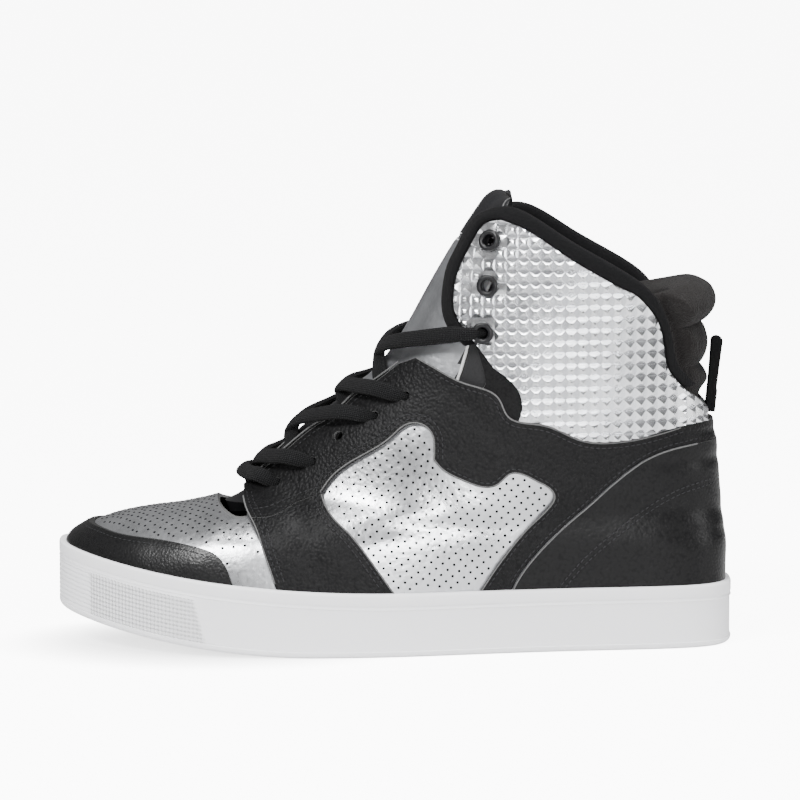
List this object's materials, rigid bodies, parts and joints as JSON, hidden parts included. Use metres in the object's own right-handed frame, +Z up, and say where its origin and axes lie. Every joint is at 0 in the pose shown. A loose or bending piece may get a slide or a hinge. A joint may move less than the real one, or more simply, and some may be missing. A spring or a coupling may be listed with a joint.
{
  "type": "dance sneaker",
  "caption": "High-top dance sneaker for the left foot: black leather with silver perforated and studded panels, white cupsole, padded collar and tongue, flat black laces.",
  "frame": {"origin": "on the floor, under the middle of the sole's length and width", "axes": "+X towards the heel along the sole's length, -Y towards the outer side of the foot, +Z up"},
  "size_m": [0.2744, 0.1041, 0.1849],
  "materials": {
    "white_rubber": "satin white rubber",
    "footbed_fabric": "matt black fabric",
    "silver_leather": "metallic silver, perforated",
    "tongue_satin": "smooth satin black",
    "pebbled_leather": "pebbled black, soft sheen",
    "smooth_leather": "smooth black, soft gloss",
    "stud_panel": "bright silver, embossed studs",
    "binding": "matt black binding",
    "terry": "matt black-brown terry",
    "webbing": "matt black webbing",
    "black_metal": "gloss black metal",
    "lace_fabric": "matt black braid"
  },
  "bodies": {
    "root": {"sole": "white_rubber", "insole": "footbed_fabric", "upper": "silver_leather", "tongue": "tongue_satin", "quarter_lateral": "pebbled_leather", "quarter_medial": "pebbled_leather", "front_quarter_lateral": "pebbled_leather", "front_quarter_medial": "pebbled_leather", "toe_guard": "smooth_leather", "heel_counter": "pebbled_leather", "wing_lateral": "stud_panel", "wing_medial": "stud_panel", "wing_binding_lateral": "binding", "wing_binding_medial": "binding", "collar": "terry", "pull_loop": "webbing", "eyelet_lateral_1": "black_metal", "eyelet_lateral_2": "black_metal", "eyelet_lateral_3": "black_metal", "eyelet_medial_1": "black_metal", "eyelet_medial_2": "black_metal", "eyelet_medial_3": "black_metal", "laces": "lace_fabric"}
  },
  "joints": []
}
